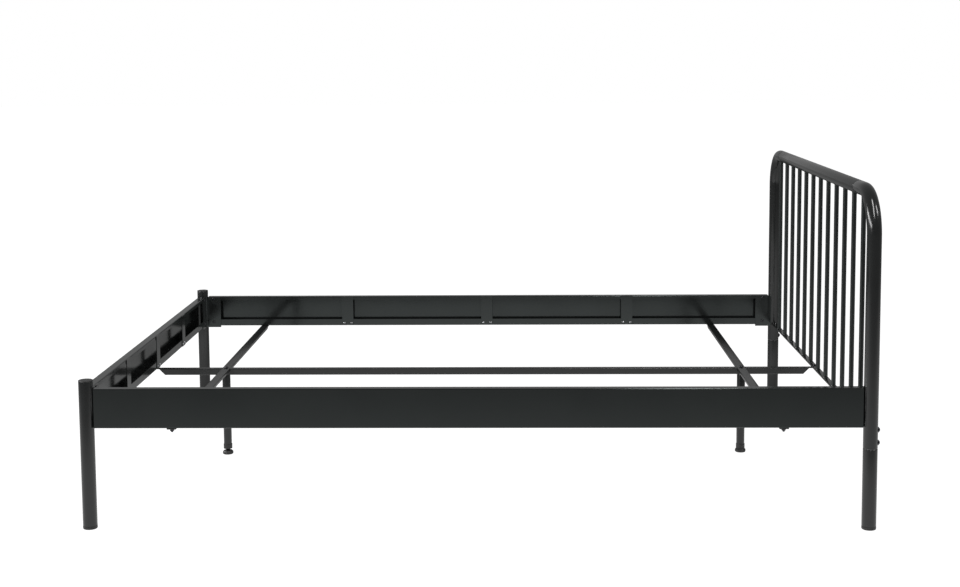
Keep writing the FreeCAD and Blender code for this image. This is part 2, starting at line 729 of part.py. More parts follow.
def support_leg(end, way):
    """A round tube with a threaded head, and the plastic plug that its levelling foot screws into."""
    leg_r = mm.leg_diameter / 2
    head_bottom = beam_bottom - mm.leg_head
    leg = keep(turned_body(
        f"support_leg_{end}",
        (leg_bore_r, tube_bottom),
        (leg_r, tube_bottom),
        (leg_r, beam_bottom),
        (leg_bolt_r + mm.thread_fit, beam_bottom),
        (leg_bolt_r + mm.thread_fit, head_bottom),
        (leg_bore_r, head_bottom),
    ))
    bore = mm.stud_diameter / 2 + mm.stud_fit
    collar_r = leg_r + mm.collar_rim
    plug = keep(turned_body(
        f"support_leg_plug_{end}",
        (bore, collar_bottom),
        (collar_r, collar_bottom, mm.collar_edge),
        (collar_r, tube_bottom, mm.collar_edge),
        (leg_bore_r - mm.plug_fit, tube_bottom),
        (leg_bore_r - mm.plug_fit, tube_bottom + mm.plug_length),
        (bore, tube_bottom + mm.plug_length),
    ))
    for piece in (leg, plug):
        place(piece, way * cross_bar_x)


def levelling_foot(end, way, raised):
    """A plastic disc moulded on a threaded stud."""
    foot_r = mm.foot_diameter / 2
    body = keep(turned_body(
        f"levelling_foot_{end}",
        (0, 0),
        (foot_r - mm.foot_edge, 0),
        (foot_r, mm.foot_edge),
        (foot_r, mm.foot_thickness - mm.foot_shoulder),
        (foot_r - mm.foot_shoulder, mm.foot_thickness),
        (mm.stud_diameter / 2, mm.foot_thickness),
        (mm.stud_diameter / 2, mm.foot_thickness + mm.stud_length),
        (0, mm.foot_thickness + mm.stud_length),
    ))
    place(body, way * cross_bar_x, 0, raised)


# ---------------------------------------------------------------- fasteners
# Each is made once, with its head above its own origin and its shank below, and copied into place.


def bolt_piece(name, radius, length, head, head_height):
    """A round-headed bolt with a socket in its head."""
    socket = radius * SOCKET_SHARE
    socket_floor = head_height * (1 - SOCKET_DEPTH_SHARE)
    return turned_body(
        name,
        (0, -length),
        (radius, -length),
        (radius, 0),
        (head / 2, 0),
        (head / 2, head_height * HEAD_RIM_SHARE),
        (head / 2 - head_height * HEAD_BEVEL_SHARE, head_height),
        (socket, head_height),
        (socket, socket_floor),
        (0, socket_floor),
    )


def nut_piece(name):
    """A hexagon nut below its own origin."""
    body = new_body(name)
    sketch = sketch_on(body, "XY_Plane", "hexagon")
    flat = mm.nut_flats / 2
    corner = mm.nut_flats / math.sqrt(3)
    outline(sketch, (corner / 2, -flat), (corner, 0), (corner / 2, flat),
            (-corner / 2, flat), (-corner, 0), (-corner / 2, -flat))
    circle(sketch, thread_r)
    pad(body, sketch, mm.nut_height)
    body.Tip.Reversed = True
    return body


def saddle_washer_piece(name):
    """A round washer whose back is hollowed to sit on a post; its origin is on the post's axis."""
    body = new_body(name)
    sketch = sketch_on(body, "YZ_Plane", "disc")
    circle(sketch, mm.washer_diameter / 2)
    circle(sketch, bolt_hole_r)
    pad(body, sketch, post_r + mm.washer_height)
    back = sketch_on(body, "XY_Plane", "back")
    circle(back, post_r)
    pocket(body, back, "back_cut")
    return body


def group(label, copies):
    """Copies of fasteners, each a separate solid, as one sub-part: (piece, x, y, z, facing) each."""
    links = []
    for number, (piece, x, y, z, facing) in enumerate(copies, start=1):
        link = doc.addObject("App::Link", f"{label}_{number:02d}")
        link.LinkedObject = piece
        links.append(place(link, x, y, z, FACE_AWAY[facing]))
    compound = keep(doc.addObject("Part::Compound", label))
    compound.Links = links


def rail_bolt_spots(inset):
    """Where the bracket bolts cross a plane that far from the rails' middle line, and their facing."""
    spots = []
    for height in (upper_bolt, lower_bolt):
        for side, way in SIDES:
            facing = "-y" if way > 0 else "+y"
            for end, end_way in ENDS:
                x = end_way * (half_length - mm.bracket_bolt_reach)
                spots.append((x, way * (half_width - inset), height, facing))
            spots.append((-half_length + inset, way * (half_width - mm.bracket_bolt_reach), height, "+x"))
    return spots


def stiffener_screw_spots():
    inset = rail_half + mm.stiffener_thickness
    spots = []
    for plate in (-1, 0, 1):
        for screw in (-1, 1):
            along_side = plate * mm.stiffener_pitch_side + screw * stiffener_screw_off
            along_foot = plate * mm.stiffener_pitch_foot + screw * stiffener_screw_off
            for side, way in SIDES:
                facing = "-y" if way > 0 else "+y"
                spots.append((along_side, way * (half_width - inset), stiffener_screw_z, facing))
            spots.append((-half_length + inset, along_foot, stiffener_screw_z, "+x"))
    return spots


def fasteners():
    frame_head = (mm.bolt_head, mm.bolt_head_height)
    rail_bolt = bolt_piece("rail_bolt", bolt_r, mm.rail_bolt_length, *frame_head)
    post_bolt = bolt_piece("post_bolt", bolt_r, mm.post_bolt_length, *frame_head)
    bar_bolt = bolt_piece("cross_bar_bolt", bolt_r, mm.cross_bar_bolt_length, *frame_head)
    foot_screw = bolt_piece("beam_foot_screw", bolt_r, mm.rail_wall + mm.beam_wall, *frame_head)
    head_screw = bolt_piece("beam_head_screw", bolt_r, mm.bottom_bar_thickness + mm.beam_wall,
                                    *frame_head)
    leg_bolt_length = mm.cross_bar_height + (notch_bottom - beam_bottom) + mm.leg_head + mm.leg_bolt_spare
    leg_bolt = bolt_piece("leg_bolt", leg_bolt_r, leg_bolt_length, mm.leg_bolt_head,
                                  mm.leg_bolt_head_height)
    screw = bolt_piece("stiffener_screw", mm.screw_diameter / 2, mm.screw_length, mm.screw_head,
                               mm.screw_head_height)
    nut = nut_piece("nut")
    washer = saddle_washer_piece("saddle_washer")

    corners = [(x_way * cross_bar_x, y_way * half_width) for x_way in (-1, 1) for y_way in (-1, 1)]
    head_spots = [(half_length, way * half_width, z) for side, way in SIDES for z in post_bolts]
    seat = post_r + mm.washer_height
    group("rail_bolts", [(rail_bolt, *spot) for spot in rail_bolt_spots(bracket_plane)])
    group("frame_nuts",
          [(nut, *spot) for spot in rail_bolt_spots(rail_half - mm.rail_wall)]
          + [(nut, x, y, rail_bottom - mm.cross_bar_end, "up") for x, y in corners])
    group("stiffener_screws", [(screw, *spot) for spot in stiffener_screw_spots()])
    group("cross_bar_bolts", [(bar_bolt, x, y, flange_top, "up") for x, y in corners])
    group("headboard_post_bolts", [(post_bolt, x + seat, y, z, "+x") for x, y, z in head_spots])
    group("headboard_post_washers", [(washer, x, y, z, "up") for x, y, z in head_spots])
    group("beam_end_screws", [(foot_screw, -half_length, 0, flange_top, "up"),
                              (head_screw, half_length, 0, bar_top, "up")])
    group("support_leg_bolts", [(leg_bolt, way * cross_bar_x, 0, rail_bottom, "up") for end, way in ENDS])


# ---------------------------------------------------------------- build, check and write

for side_name, side_way in SIDES:
    corner_post(side_name, side_way)
    top_sleeve(side_name, side_way)
    lower_leg(side_name, side_way)
    leg_sleeve(side_name, side_way)
    foot_post(side_name, side_way)
    glide(f"glide_head_{side_name}", half_length, side_way * half_width)
    glide(f"glide_foot_{side_name}", -half_length, side_way * half_width)
top_tube()
bottom_bar()
for spindle_number in range(1, SPINDLES + 1):
    spindle(spindle_number)
rails()
brackets()
centre_beam()
for end_name, end_side in ENDS:
    cross_bar(end_name, end_side)
    support_leg(end_name, end_side)
levelling_foot("foot_end", -1, raised=0)
levelling_foot("head_end", 1, raised=mm.foot_gap - mm.foot_stop_gap)
fasteners()
doc.recompute()


def check_features():
    """Stop if any object failed, or a cut took nothing away."""
    for thing in doc.Objects:
        if {"Invalid", "Error"} & set(thing.State):
            raise RuntimeError(f"{thing.Label} failed: {thing.State}")
        if thing.TypeId == "PartDesign::Pocket":
            if thing.Shape.Volume >= thing.BaseFeature.Shape.Volume - 1e-3:
                raise RuntimeError(f"{thing.Label} cuts nothing")


def check_shapes():
    """Stop if any sub-part's shape is missing or not valid."""
    for thing in sub_parts:
        if thing.Shape.isNull() or not thing.Shape.isValid() or not thing.Shape.Solids:
            raise RuntimeError(f"{thing.Label} has no valid shape")


check_features()
check_shapes()
os.makedirs("parts", exist_ok=True)
for sub_part in sub_parts:
    sub_part.Shape.exportStep(f"parts/{sub_part.Label}.step")
print(len(sub_parts), "sub-parts,", sum(len(thing.Shape.Solids) for thing in sub_parts), "solids")
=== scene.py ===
import logging
import math
from dataclasses import dataclass
from enum import Enum
from typing import Iterable, Optional, Sequence

import bmesh
import bpy
from bmesh.types import BMEdge, BMesh, BMVert
from mathutils import Matrix, Vector


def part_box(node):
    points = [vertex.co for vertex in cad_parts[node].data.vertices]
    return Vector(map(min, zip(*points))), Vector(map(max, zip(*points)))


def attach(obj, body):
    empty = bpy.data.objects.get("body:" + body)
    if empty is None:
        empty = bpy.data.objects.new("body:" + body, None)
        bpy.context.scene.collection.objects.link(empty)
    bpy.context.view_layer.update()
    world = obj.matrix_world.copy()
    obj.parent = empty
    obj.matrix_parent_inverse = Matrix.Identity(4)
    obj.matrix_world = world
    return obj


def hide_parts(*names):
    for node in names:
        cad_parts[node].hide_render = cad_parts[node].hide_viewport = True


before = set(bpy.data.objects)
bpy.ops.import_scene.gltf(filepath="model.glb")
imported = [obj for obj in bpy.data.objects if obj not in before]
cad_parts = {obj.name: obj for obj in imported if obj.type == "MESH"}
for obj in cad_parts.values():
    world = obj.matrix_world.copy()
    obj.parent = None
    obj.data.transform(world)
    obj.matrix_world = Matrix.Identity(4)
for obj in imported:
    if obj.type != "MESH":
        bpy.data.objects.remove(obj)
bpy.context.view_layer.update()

LOG = logging.getLogger("bed_frame")
BED = "bed_frame"
MERGE = 1e-6
SHARP = math.radians(32)
SOFTENED = math.radians(50)
FULL_TURN = 2 * math.pi
NOISE_LOW = 0.3
NOISE_HIGH = 0.7


# ---------------------------------------------------------------- small helpers and choices


def aimed(way: Vector, axis: str = "Z") -> Matrix:
    """The rotation that points an axis along a direction.

    Args:
        way: the direction.
        axis: the axis, with a minus sign for its other end.

    Returns:
        The rotation.
    """
    return way.to_track_quat(axis, "Y").to_matrix().to_4x4()


def in_scene(name: str, data: bpy.types.ID) -> bpy.types.Object:
    """Put a mesh, lamp or camera in the scene.

    Args:
        name: the new object's name.
        data: what it shows.

    Returns:
        The new object.
    """
    thing = bpy.data.objects.new(name, data)
    bpy.context.scene.collection.objects.link(thing)
    return thing


class Side(Enum):
    """The bed's two long sides, as the sign of their Y."""

    LEFT = 1
    RIGHT = -1

    @property
    def word(self) -> str:
        """The side's name as the nodes spell it."""
        return self.name.lower()


class End(Enum):
    """The bed's two ends, as the sign of their X."""

    FOOT = -1
    HEAD = 1

    @property
    def word(self) -> str:
        """The end's name as the nodes spell it."""
        return self.name.lower() + "_end"


class Facing(Enum):
    """The direction that a bolt's head looks in."""

    UP = (0, 0, 1)
    HEADWARD = (1, 0, 0)
    LEFTWARD = (0, 1, 0)
    RIGHTWARD = (0, -1, 0)

    @property
    def vector(self) -> Vector:
        """The direction as a unit vector."""
        return Vector(self.value)

    def turn(self) -> Matrix:
        """The rotation that takes +Z to this direction."""
        return aimed(self.vector)


# ---------------------------------------------------------------- finishes


class NodeSheet:
    """A material's node tree, with short calls for the nodes that the finishes share."""

    def __init__(self, name: str) -> None:
        """Start a material with a Principled shader.

        Args:
            name: the material's name.
        """
        self.material = bpy.data.materials.new(name)
        self.material.use_nodes = True
        self.tree = self.material.node_tree
        self.tree.nodes.clear()
        self.output = self.tree.nodes.new("ShaderNodeOutputMaterial")
        self.shader = self.tree.nodes.new("ShaderNodeBsdfPrincipled")
        self.link(self.shader.outputs["BSDF"], self.output.inputs["Surface"])
        self.place = self.tree.nodes.new("ShaderNodeTexCoord").outputs["Object"]

    def link(self, source: bpy.types.NodeSocket, target: bpy.types.NodeSocket) -> None:
        """Join two sockets."""
        self.tree.links.new(source, target)

    def stretched(self, scale: Sequence[float]) -> bpy.types.NodeSocket:
        """Object coordinates stretched along the axes.

        Args:
            scale: the factor along X, Y and Z.

        Returns:
            The stretched coordinates.
        """
        mapping = self.tree.nodes.new("ShaderNodeMapping")
        mapping.inputs["Scale"].default_value = scale
        self.link(self.place, mapping.inputs["Vector"])
        return mapping.outputs["Vector"]

    def noise(
        self, scale: float, detail: float, place: Optional[bpy.types.NodeSocket] = None
    ) -> bpy.types.NodeSocket:
        """A noise pattern.

        Args:
            scale: how many blots to the metre.
            detail: octaves of finer noise.
            place: the coordinates it reads, or None for the object's own.

        Returns:
            The noise's value.
        """
        node = self.tree.nodes.new("ShaderNodeTexNoise")
        node.inputs["Scale"].default_value = scale
        node.inputs["Detail"].default_value = detail
        self.link(place or self.place, node.inputs["Vector"])
        return node.outputs["Fac"]

    def spread(
        self, source: bpy.types.NodeSocket, low: float, high: float
    ) -> bpy.types.NodeSocket:
        """Bring a noise value, which keeps near its middle, to a range.

        Args:
            source: the noise's value.
            low: result for dark noise.
            high: result for light noise.

        Returns:
            The value in its new range.
        """
        node = self.tree.nodes.new("ShaderNodeMapRange")
        node.inputs["From Min"].default_value = NOISE_LOW
        node.inputs["From Max"].default_value = NOISE_HIGH
        node.inputs["To Min"].default_value = low
        node.inputs["To Max"].default_value = high
        self.link(source, node.inputs["Value"])
        return node.outputs["Result"]

    def tint(
        self, source: bpy.types.NodeSocket, dark: Sequence[float], light: Sequence[float]
    ) -> None:
        """Colour the surface between two tones.

        Args:
            source: the noise that chooses between them.
            dark: the darker colour.
            light: the lighter colour.
        """
        node = self.tree.nodes.new("ShaderNodeValToRGB")
        node.color_ramp.elements[0].position = NOISE_LOW
        node.color_ramp.elements[1].position = NOISE_HIGH
        node.color_ramp.elements[0].color = (*dark, 1)
        node.color_ramp.elements[1].color = (*light, 1)
        self.link(source, node.inputs["Fac"])
        self.link(node.outputs["Color"], self.shader.inputs["Base Color"])

    def gloss(
        self, source: bpy.types.NodeSocket, roughness: float, sway: tuple[float, float]
    ) -> None:
        """Vary the roughness with a noise.

        Args:
            source: the noise's value.
            roughness: the finish's usual roughness.
            sway: what dark noise and light noise add to it.
        """
        varied = self.spread(source, roughness + sway[0], roughness + sway[1])
        self.link(varied, self.shader.inputs["Roughness"])

    def relief(self, layers: Iterable[tuple[bpy.types.NodeSocket, float]]) -> None:
        """Raise the surface by layers of bump.

        Args:
            layers: each layer's height pattern and its height in metres.
        """
        normal = None
        for source, height in layers:
            bump = self.tree.nodes.new("ShaderNodeBump")
            bump.inputs["Distance"].default_value = height
            self.link(source, bump.inputs["Height"])
            if normal is not None:
                self.link(normal, bump.inputs["Normal"])
            normal = bump.outputs["Normal"]
        self.link(normal, self.shader.inputs["Normal"])


@dataclass(frozen=True)
class PowderCoat:
    """Baked black powder paint: fine orange peel, faint clouding and a soft gloss."""

    name: str
    tone: float = 0.011
    roughness: float = 0.2
    peel_per_metre: float = 420.0
    peel_height: float = 0.000016
    grain_per_metre: float = 2400.0
    grain_height: float = 0.000003
    cloud_per_metre: float = 7.0
    specular: float = 0.5
    sheen_tint: tuple[float, float, float] = (1.0, 1.0, 1.0)
    dark_share: tuple[float, float, float] = (0.84, 0.9, 0.9)
    light_share: tuple[float, float, float] = (1.06, 1.14, 1.13)
    roughness_sway: tuple[float, float] = (-0.03, 0.04)

    def build(self) -> bpy.types.Material:
        """Make the material.

        Returns:
            The finished material.
        """
        sheet = NodeSheet(self.name)
        clouds = sheet.noise(self.cloud_per_metre, detail=3)
        peel = sheet.noise(self.peel_per_metre, detail=2)
        grain = sheet.noise(self.grain_per_metre, detail=1)
        dark = [self.tone * share for share in self.dark_share]
        light = [self.tone * share for share in self.light_share]
        sheet.tint(clouds, dark, light)
        sheet.gloss(clouds, self.roughness, self.roughness_sway)
        sheet.relief(((peel, self.peel_height), (grain, self.grain_height)))
        sheet.shader.inputs["Specular IOR Level"].default_value = self.specular
        sheet.shader.inputs["Specular Tint"].default_value = (*self.sheen_tint, 1)
        return sheet.material


@dataclass(frozen=True)
class MouldedPlastic:
    """Black moulded plastic with a fine spark-eroded grain."""

    name: str
    tone: float = 0.014
    roughness: float = 0.48
    grain_per_metre: float = 3200.0
    grain_height: float = 0.00004
    flow_per_metre: float = 90.0
    dark_share: float = 0.85
    light_share: float = 1.25
    roughness_sway: tuple[float, float] = (-0.06, 0.08)

    def build(self) -> bpy.types.Material:
        """Make the material.

        Returns:
            The finished material.
        """
        sheet = NodeSheet(self.name)
        grain = sheet.noise(self.grain_per_metre, detail=2)
        flow = sheet.noise(self.flow_per_metre, detail=2)
        sheet.tint(flow, (self.tone * self.dark_share,) * 3, (self.tone * self.light_share,) * 3)
        sheet.gloss(grain, self.roughness, self.roughness_sway)
        sheet.relief(((grain, self.grain_height),))
        return sheet.material


@dataclass(frozen=True)
class PlatedSteel:
    """Plated or bare steel: blotched plating over fine drawing lines."""

    name: str
    dark: tuple[float, float, float]
    light: tuple[float, float, float]
    roughness: float
    lines: tuple[float, float, float] = (1.0, 1.0, 1.0)
    line_per_metre: float = 1400.0
    line_height: float = 0.00001
    blotch_per_metre: float = 240.0
    roughness_sway: tuple[float, float] = (-0.08, 0.1)

    def build(self) -> bpy.types.Material:
        """Make the material.

        Returns:
            The finished material.
        """
        sheet = NodeSheet(self.name)
        blotches = sheet.noise(self.blotch_per_metre, detail=4)
        lines = sheet.noise(self.line_per_metre, 2, sheet.stretched(self.lines))
        sheet.tint(blotches, self.dark, self.light)
        sheet.gloss(blotches, self.roughness, self.roughness_sway)
        sheet.relief(((lines, self.line_height),))
        sheet.shader.inputs["Metallic"].default_value = 1.0
        return sheet.material


COOL = (0.9, 1.0, 0.98)
FINISHES = {
    "headboard_paint": PowderCoat("headboard_powder_coat", roughness=0.16),
    "spindle_paint": PowderCoat(
        "spindle_powder_coat", tone=0.012, roughness=0.32, peel_height=0.000005,
        grain_height=0.0000008, sheen_tint=COOL,
    ),
    "post_paint": PowderCoat("post_powder_coat", tone=0.013, roughness=0.22),
    "rail_paint": PowderCoat("rail_powder_coat", tone=0.009, roughness=0.14, sheen_tint=COOL),
    "plate_paint": PowderCoat("plate_powder_coat", tone=0.012, roughness=0.16, sheen_tint=COOL),
    "beam_paint": PowderCoat("beam_powder_coat", tone=0.012, roughness=0.24),
    "sleeve_steel": PlatedSteel(
        "drawn_tube", (0.12, 0.12, 0.12), (0.3, 0.3, 0.31), 0.36, lines=(0.05, 0.05, 1),
    ),
    "black_plastic": MouldedPlastic("moulded_plastic"),
    "black_zinc": PlatedSteel("black_zinc_plate", (0.03, 0.03, 0.034), (0.07, 0.07, 0.075), 0.3),
    # partly zinc plating, partly painted highlight: light enough that the stiffener screws show as
    # light dots in place of glints on their heads
    "bright_zinc": PlatedSteel("bright_zinc_plate", (0.5, 0.51, 0.53), (0.72, 0.73, 0.75), 0.3),
}


class FinishShelf:
    """The finishes, each made once under its slot's name in the record."""

    def __init__(self) -> None:
        """Make every finish."""
        self.made = {slot: finish.build() for slot, finish in FINISHES.items()}

    def dress_node(self, node: str, slot: str) -> None:
        """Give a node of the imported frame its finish.

        Args:
            node: the node's name.
            slot: the record's material slot.
        """
        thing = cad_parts[node]
        for place in thing.material_slots:
            place.material = self.made[slot]
        LOG.info("dressed %s in %s", node, slot)


# ---------------------------------------------------------------- drawing tools


def along(edges: Iterable[BMEdge]) -> list[BMVert]:
    """The vertices of some edges, each once.

    Args:
        edges: the edges.

    Returns:
        Their vertices, in the same order on every run.
    """
    return list(dict.fromkeys(vert for edge in edges for vert in edge.verts))


def ring(bm: BMesh, radius: float, place: Matrix, segments: int) -> list[BMEdge]:
    """Start a tube or rod with an open circle.

    Args:
        bm: the mesh being drawn.
        radius: the circle's radius.
        place: where it stands; its axis is the matrix's Z.
        segments: how many sides it has.

    Returns:
        The circle's edges.
    """
    made = bmesh.ops.create_circle(
        bm, cap_ends=False, segments=segments, radius=radius, matrix=place
    )
    return list(dict.fromkeys(edge for vert in made["verts"] for edge in vert.link_edges))


def draw_out(bm: BMesh, edges: Sequence[BMEdge], step: Vector) -> list[BMEdge]:
    """Extrude a ring or outline in a straight line.

    Args:
        bm: the mesh being drawn.
        edges: the ring's edges.
        step: how far, and which way.

    Returns:
        The edges at the new end.
    """
    made = bmesh.ops.extrude_edge_only(bm, edges=edges)["geom"]
    bmesh.ops.translate(bm, vec=step, verts=[item for item in made if isinstance(item, BMVert)])
    return [item for item in made if isinstance(item, BMEdge)]


def bend(
    bm: BMesh, edges: Sequence[BMEdge], centre: Vector, axis: Vector, angle: float, steps: int
) -> list[BMEdge]:
    """Carry a ring round a bend.

    Args:
        bm: the mesh being drawn.
        edges: the ring's edges.
        centre: a point on the bend's axis.
        axis: the bend's axis.
        angle: how far it turns, in radians.
        steps: how many steps the bend takes.

    Returns:
        The edges at the new end.
    """
    geometry = list(edges) + along(edges)
    made = bmesh.ops.spin(
        bm, geom=geometry, cent=centre, axis=axis, dvec=(0, 0, 0), angle=angle, steps=steps,
        use_merge=False, use_duplicate=False,
    )
    return [item for item in made["geom_last"] if isinstance(item, BMEdge)]


def turned(
    bm: BMesh, outline: Sequence[tuple[float, float]], segments: int, place: Matrix
) -> list[BMVert]:
    """Turn half a section about its own axis, as on a lathe.

    Args:
        bm: the mesh being drawn.
        outline: radius and height of each point.
        segments: steps round the axis.
        place: where the axis stands; the outline is drawn in its X and Z.

    Returns:
        The new vertices.
    """
    before = set(bm.verts)
    corners = [bm.verts.new((radius, 0, height)) for radius, height in outline]
    sides = [bm.edges.new(pair) for pair in zip(corners, corners[1:])]
    bmesh.ops.spin(
        bm, geom=corners + sides, cent=(0, 0, 0), axis=(0, 0, 1), dvec=(0, 0, 0), angle=FULL_TURN,
        steps=segments, use_merge=True, use_duplicate=False,
    )
    made = [vert for vert in bm.verts if vert not in before]
    bmesh.ops.remove_doubles(bm, verts=made, dist=MERGE)
    made = [vert for vert in bm.verts if vert not in before]
    bmesh.ops.transform(bm, matrix=place, verts=made)
    return made


def block(bm: BMesh, size: Sequence[float], middle: Vector) -> None:
    """Draw a plain block.

    Args:
        bm: the mesh being drawn.
        size: its length along X, Y and Z.
        middle: its middle.
    """
    bmesh.ops.create_cube(bm, size=1)
    bmesh.ops.scale(bm, vec=size, verts=bm.verts)
    bmesh.ops.translate(bm, vec=middle, verts=bm.verts)


def round_off(bm: BMesh, edges: Sequence[BMEdge], size: float, steps: int) -> None:
    """Round some edges.

    Args:
        bm: the mesh being drawn.
        edges: the edges.
        size: width of the rounding.
        steps: its facets.
    """
    bmesh.ops.bevel(
        bm, geom=edges, offset=size, offset_type="OFFSET", segments=steps, profile=0.5,
        affect="EDGES", clamp_overlap=True, material=-1,
    )


def soften(bm: BMesh, size: float, steps: int = 2) -> None:
    """Round every sharp edge.

    Args:
        bm: the mesh being drawn.
        size: width of the rounding.
        steps: its facets.
    """
    sharp = [edge for edge in bm.edges if edge.is_manifold and edge.calc_face_angle(0) > SOFTENED]
    round_off(bm, sharp, size, steps)


def give_wall(bm: BMesh, thickness: float) -> list[BMEdge]:
    """Give an open shell its wall, inwards.

    Args:
        bm: the mesh being drawn, a shell that is open at both ends.
        thickness: the wall.

    Returns:
        The outer edges of its two ends.
    """
    rims = [edge for edge in bm.edges if edge.is_boundary]
    bmesh.ops.recalc_face_normals(bm, faces=bm.faces)
    bmesh.ops.solidify(bm, geom=bm.faces, thickness=thickness)
    return rims


def islands(node: str) -> list[tuple[Vector, Vector]]:
    """The boxes of a node's separate solids.

    Args:
        node: the node's name.

    Returns:
        The lowest and highest corner of each solid.
    """
    bm = bmesh.new()
    bm.from_mesh(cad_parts[node].data)
    bmesh.ops.remove_doubles(bm, verts=bm.verts, dist=MERGE)
    waiting = set(bm.verts)
    boxes = []
    while waiting:
        front = [waiting.pop()]
        low, high = front[0].co.copy(), front[0].co.copy()
        while front:
            vert = front.pop()
            low = Vector(map(min, low, vert.co))
            high = Vector(map(max, high, vert.co))
            for edge in vert.link_edges:
                other = edge.other_vert(vert)
                if other in waiting:
                    waiting.remove(other)
                    front.append(other)
        boxes.append((low, high))
    bm.free()
    return sorted(boxes, key=lambda box: tuple(round(value, 5) for value in (*box[0], *box[1])))


@dataclass
class Workshop:
    """Turns drawn meshes into the bed's pieces."""

    shelf: FinishShelf

    def piece(
        self, name: str, bm: BMesh, slot: str, replaced: Sequence[str] = (), body: str = BED
    ) -> bpy.types.Object:
        """Finish a mesh and hang it on its body.

        Args:
            name: the piece's name.
            bm: its mesh, in place.
            slot: the record's material slot.
            replaced: the nodes that it stands for.
            body: the body that it rides on.

        Returns:
            The piece.
        """
        bmesh.ops.remove_doubles(bm, verts=bm.verts, dist=MERGE)
        bmesh.ops.recalc_face_normals(bm, faces=bm.faces)
        for face in bm.faces:
            face.smooth = True
        for edge in bm.edges:
            edge.smooth = edge.is_manifold and edge.calc_face_angle(0) < SHARP
        mesh = bpy.data.meshes.new(name)
        bm.to_mesh(mesh)
        bm.free()
        mesh.materials.append(self.shelf.made[slot])
        thing = in_scene(name, mesh)
        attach(thing, body)
        if replaced:
            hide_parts(*replaced)
        LOG.info("made %s: %d faces", name, len(mesh.polygons))
        return thing


# ---------------------------------------------------------------- pieces used all over the bed


@dataclass(frozen=True)
class TubeEnd:
    """The trimmed end of a tube, its outer edge rolled over."""

    rounding: float = 0.0012
    steps: int = 4


TUBE_END = TubeEnd()


@dataclass
class Tube:
    """A straight round tube with trimmed ends, its size read from the node that it stands for."""

    node: str
    wall: float = 0.0015
    segments: int = 64

    def build(self, shop: Workshop, name: str, slot: str) -> bpy.types.Object:
        """Make the tube along its node's longest side.

        Args:
            shop: where it is finished.
            name: the piece's name.
            slot: the record's material slot.

        Returns:
            The piece.
        """
        low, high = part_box(self.node)
        size = high - low
        axis = max(range(3), key=lambda i: size[i])
        way = Vector([float(i == axis) for i in range(3)])
        start = (low + high) / 2 - way * size[axis] / 2
        bm = bmesh.new()
        circle = ring(bm, min(size) / 2, Matrix.Translation(start) @ aimed(way), self.segments)
        draw_out(bm, circle, way * size[axis])
        round_off(bm, give_wall(bm, self.wall), TUBE_END.rounding, TUBE_END.steps)
        return shop.piece(name, bm, slot, [self.node])


@dataclass(frozen=True)
class WeldBead:
    """A rippled bead of weld under the paint."""

    radius: float = 0.0016
    segments: int = 8
    ripple: float = 0.12
    ripple_pitch: float = 0.0022

    def swell(self, bm: BMesh, circle: Sequence[BMEdge], number: int) -> None:
        """Fatten or thin one ring of the bead.

        Args:
            bm: the mesh being drawn.
            circle: the ring.
            number: its number along the bead.
        """
        verts = along(circle)
        middle = sum((vert.co for vert in verts), Vector()) / len(verts)
        factor = 1 + self.ripple * (1 if number % 2 else -1)
        bmesh.ops.scale(bm, vec=(factor,) * 3, space=Matrix.Translation(-middle), verts=verts)

    def straight(self, bm: BMesh, start: Vector, end: Vector) -> None:
        """Lay the bead along a line, both ends closed.

        Args:
            bm: the mesh being drawn.
            start: where it starts.
            end: where it ends.
        """
        way = end - start
        count = max(2, round(way.length / self.ripple_pitch))
        circle = ring(bm, self.radius, Matrix.Translation(start) @ aimed(way), self.segments)
        bmesh.ops.holes_fill(bm, edges=circle, sides=0)
        for number in range(count):
            circle = draw_out(bm, circle, way / count)
            self.swell(bm, circle, number)
        bmesh.ops.holes_fill(bm, edges=circle, sides=0)

    def arc(self, bm: BMesh, centre: Vector, reach: float, start: float, angle: float) -> None:
        """Lay the bead round an upright tube.

        Args:
            bm: the mesh being drawn.
            centre: the tube's axis, at the bead's height.
            reach: the tube's radius.
            start: the angle that it starts at.
            angle: how far it goes round.
        """
        count = max(2, round(reach * abs(angle) / self.ripple_pitch))
        spot = centre + Vector((math.cos(start), math.sin(start), 0)) * reach
        tangent = Vector((-math.sin(start), math.cos(start), 0))
        circle = ring(bm, self.radius, Matrix.Translation(spot) @ aimed(tangent), self.segments)
        bmesh.ops.holes_fill(bm, edges=circle, sides=0)
        for number in range(count):
            circle = bend(bm, circle, centre, Vector((0, 0, 1)), angle / count, 1)
            self.swell(bm, circle, number)
        bmesh.ops.holes_fill(bm, edges=circle, sides=0)


